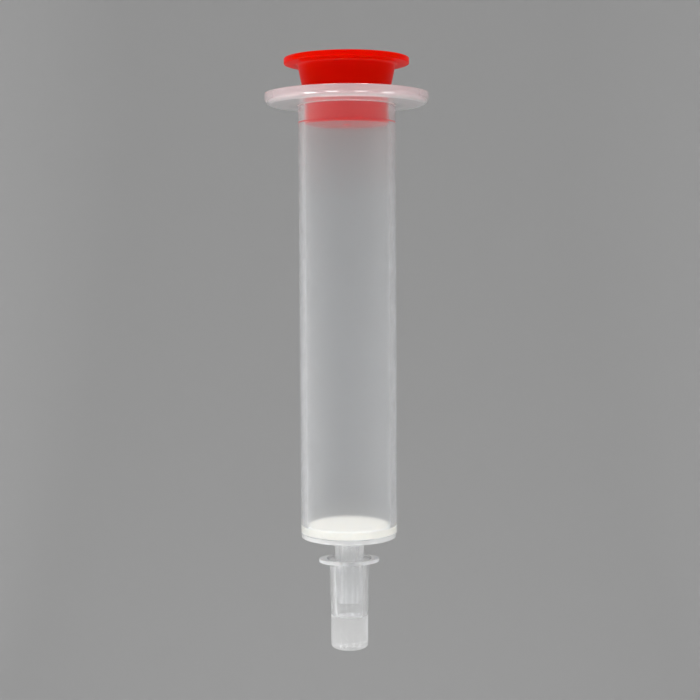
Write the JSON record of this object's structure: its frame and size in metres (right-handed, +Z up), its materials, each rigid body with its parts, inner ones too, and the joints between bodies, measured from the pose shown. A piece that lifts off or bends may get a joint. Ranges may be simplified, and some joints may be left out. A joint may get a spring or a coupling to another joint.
{
  "type": "empty chromatography column",
  "caption": "Clear plastic gravity column with a round flange, a porous disc on its floor, a tapered outlet nozzle, a red stopper and a tip cap.",
  "frame": {"origin": "centre of the flange's underside, on the barrel's axis, where a rack's plate carries the column", "axes": "+Z up the barrel's axis towards the stopper, +X and +Y in the plane of the flange"},
  "size_m": [0.0244, 0.0244, 0.0889],
  "materials": {
    "clear_polypropylene": "translucent, semi-gloss",
    "porous_polyethylene": "porous, matte",
    "red_polyethylene": "satin",
    "clear_cap": "translucent, semi-gloss"
  },
  "bodies": {
    "column": {"barrel": "clear_polypropylene", "frit": "porous_polyethylene"},
    "stopper": {"stopper": "red_polyethylene"},
    "tip_cap": {"tip_cap": "clear_cap"}
  },
  "joints": [
    {"name": "stopper_pull", "type": "slide", "parent": "column", "child": "stopper", "axis": [0, 0, 1], "range_m": [0, 0.03]},
    {"name": "cap_pull", "type": "slide", "parent": "column", "child": "tip_cap", "axis": [0, 0, -1], "range_m": [0, 0.02]}
  ]
}
